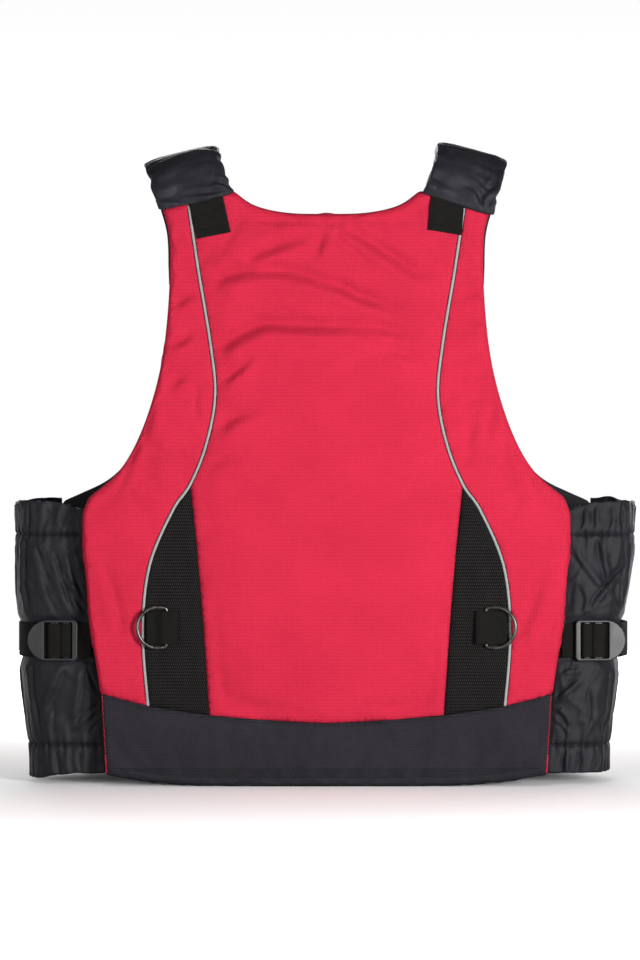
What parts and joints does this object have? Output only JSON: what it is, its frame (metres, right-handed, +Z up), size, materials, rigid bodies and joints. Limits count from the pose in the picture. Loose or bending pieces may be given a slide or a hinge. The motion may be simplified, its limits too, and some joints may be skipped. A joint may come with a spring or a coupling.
{
  "type": "paddling life jacket",
  "caption": "Foam paddling life jacket with a front zip, gathered nylon sides, padded shoulder sleeves, webbing adjusters and back D-rings.",
  "frame": {"origin": "middle of the bounding box in X and Y, at the level of the hems' lowest edges", "axes": "+Z up, -Y towards the back panel's outer face, +X to the wearer's right"},
  "size_m": [0.5002, 0.1873, 0.5032],
  "materials": {
    "red_nylon": "plain woven nylon, slightly rough",
    "black_mesh": "knitted mesh",
    "navy_band": "fine woven nylon",
    "reflective": "retro-reflective piping",
    "foam": "closed-cell foam",
    "lining": "matt lining",
    "webbing": "woven webbing",
    "ring_metal": "dark gunmetal, semi-gloss",
    "navy_nylon": "shiny light nylon",
    "elastic": "woven elastic",
    "buckle_plastic": "moulded acetal, satin gloss",
    "zip_tape": "woven tape",
    "zip_teeth": "moulded teeth",
    "zip_metal": "dark gunmetal"
  },
  "bodies": {
    "back": {"back_center_panel": "red_nylon", "back_gusset": "red_nylon", "back_side_panel_left": "red_nylon", "back_side_panel_right": "red_nylon", "back_mesh_left": "black_mesh", "back_mesh_right": "black_mesh", "back_hem_band": "navy_band", "reflective_piping_left": "reflective", "reflective_piping_right": "reflective", "back_foam": "foam", "back_lining": "lining", "d_ring_tab_left": "webbing", "d_ring_tab_right": "webbing", "shoulder_webbing_left": "webbing", "shoulder_webbing_right": "webbing", "side_strap_fixed_left": "webbing", "side_strap_fixed_right": "webbing", "side_strap_long_left": "webbing", "side_strap_long_right": "webbing", "shoulder_sleeve_left": "navy_nylon", "shoulder_sleeve_right": "navy_nylon", "side_shell_left": "navy_nylon", "side_shell_right": "navy_nylon", "side_elastic_upper_left": "elastic", "side_elastic_upper_right": "elastic", "side_elastic_lower_left": "elastic", "side_elastic_lower_right": "elastic"},
    "front_left": {"front_cover_left": "red_nylon", "front_hem_band_left": "navy_band", "front_gusset_left": "red_nylon", "front_foam_left": "foam", "front_lining_left": "lining", "zip_tape_left": "zip_tape", "zip_teeth_left": "zip_teeth", "front_strap_left": "webbing", "waist_belt_left": "webbing", "waist_buckle_female": "buckle_plastic"},
    "d_ring_left": {"d_ring_left": "ring_metal"},
    "side_lock_left": {"side_lock_left": "buckle_plastic", "side_lock_web_left": "webbing"},
    "shoulder_lock_left": {"shoulder_lock_left": "buckle_plastic", "shoulder_lock_web_left": "webbing"},
    "front_right": {"front_cover_right": "red_nylon", "front_hem_band_right": "navy_band", "front_gusset_right": "red_nylon", "front_foam_right": "foam", "front_lining_right": "lining", "zip_tape_right": "zip_tape", "zip_teeth_right": "zip_teeth", "front_strap_right": "webbing", "waist_belt_right": "webbing"},
    "d_ring_right": {"d_ring_right": "ring_metal"},
    "side_lock_right": {"side_lock_right": "buckle_plastic", "side_lock_web_right": "webbing"},
    "shoulder_lock_right": {"shoulder_lock_right": "buckle_plastic", "shoulder_lock_web_right": "webbing"},
    "zip_slider": {"zip_slider": "zip_metal"},
    "zip_pull": {"zip_pull": "zip_metal"},
    "waist_clip": {"waist_buckle_male": "buckle_plastic"}
  },
  "joints": [
    {"name": "front_left_hinge", "type": "hinge", "parent": "back", "child": "front_left", "pos_m": [-0.2044, 0.056, 0.009], "axis": [-0.0562, 0, 0.9984], "range_deg": [0, 35]},
    {"name": "front_right_hinge", "type": "hinge", "parent": "back", "child": "front_right", "pos_m": [0.2044, 0.056, 0.009], "axis": [-0.0562, 0, -0.9984], "range_deg": [0, 35]},
    {"name": "d_ring_left_hinge", "type": "hinge", "parent": "back", "child": "d_ring_left", "pos_m": [-0.1245, -0.0884, 0.1245], "axis": [0, 0, 1], "range_deg": [0, 160]},
    {"name": "side_lock_left_hinge", "type": "hinge", "parent": "back", "child": "side_lock_left", "pos_m": [-0.1952, -0.06621, 0.1135], "axis": [0, 0, 1], "range_deg": [0, 40]},
    {"name": "shoulder_lock_left_hinge", "type": "hinge", "parent": "front_left", "child": "shoulder_lock_left", "pos_m": [-0.08466, 0.0846, 0.42799], "axis": [0.9563, 0, 0.2924], "range_deg": [0, 60]},
    {"name": "d_ring_right_hinge", "type": "hinge", "parent": "back", "child": "d_ring_right", "pos_m": [0.1245, -0.0884, 0.1245], "axis": [0, 0, -1], "range_deg": [0, 160]},
    {"name": "side_lock_right_hinge", "type": "hinge", "parent": "back", "child": "side_lock_right", "pos_m": [0.1952, -0.06621, 0.1135], "axis": [0, 0, -1], "range_deg": [0, 40]},
    {"name": "shoulder_lock_right_hinge", "type": "hinge", "parent": "front_right", "child": "shoulder_lock_right", "pos_m": [0.08466, 0.0846, 0.42799], "axis": [0.9563, 0, -0.2924], "range_deg": [0, 60]},
    {"name": "zip_slide", "type": "slide", "parent": "front_right", "child": "zip_slider", "axis": [0, 0, 1], "range_m": [0, 0.326]},
    {"name": "zip_pull_hinge", "type": "hinge", "parent": "zip_slider", "child": "zip_pull", "pos_m": [0, 0.0835, 0.0345], "axis": [1, 0, 0], "range_deg": [0, 150]},
    {"name": "waist_clip_slide", "type": "slide", "parent": "front_right", "child": "waist_clip", "axis": [-1, 0, 0], "range_m": [0, 0.02]}
  ]
}
